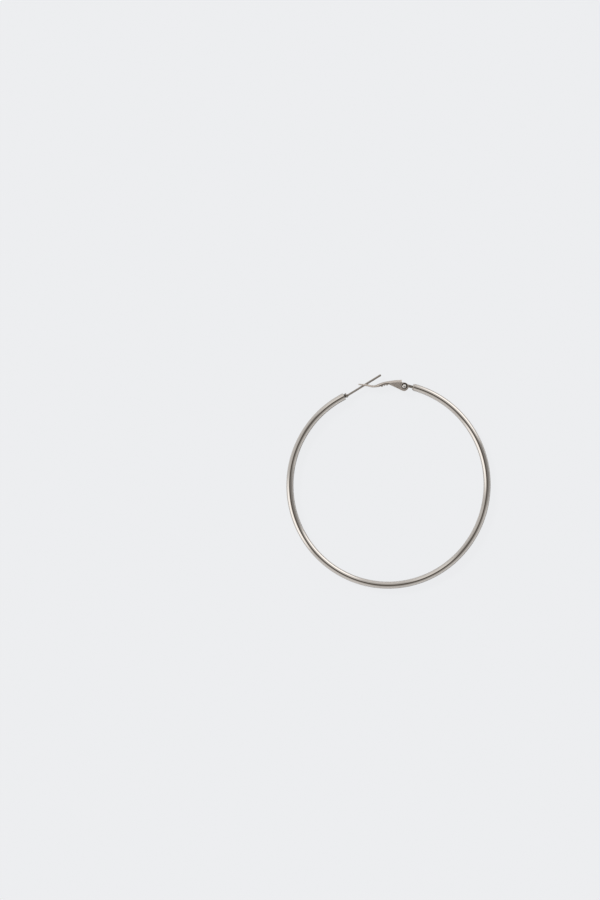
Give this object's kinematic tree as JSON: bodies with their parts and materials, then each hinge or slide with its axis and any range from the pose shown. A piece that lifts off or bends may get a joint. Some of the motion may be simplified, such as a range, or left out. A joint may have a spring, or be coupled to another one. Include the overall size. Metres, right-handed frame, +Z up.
{
  "type": "hoop earring",
  "caption": "Large polished tube hoop earring with a straight ear post and a hinged latch lever that snaps over it, lying flat on its side.",
  "frame": {"origin": "under the middle of the whole earring's box, on the surface the hoop lies on", "axes": "+Z up, square to the hoop's plane; +Y across the hoop towards the clasp; +X from the post end's side to the hinge's side"},
  "size_m": [0.0694, 0.073, 0.0024],
  "materials": {
    "polished_steel": "mirror polished",
    "stamped_steel": "stamped sheet, tumble polished"
  },
  "bodies": {
    "hoop": {"hoop_tube": "polished_steel", "ear_post": "polished_steel", "hinge_tab": "polished_steel", "hinge_rivet": "polished_steel"},
    "latch": {"latch_lever": "stamped_steel"}
  },
  "joints": [
    {"name": "latch_hinge", "type": "hinge", "parent": "hoop", "child": "latch", "pos_m": [0.00861, 0.03158, 0.0012], "axis": [0, 0, 1], "range_deg": [0, 100]}
  ]
}
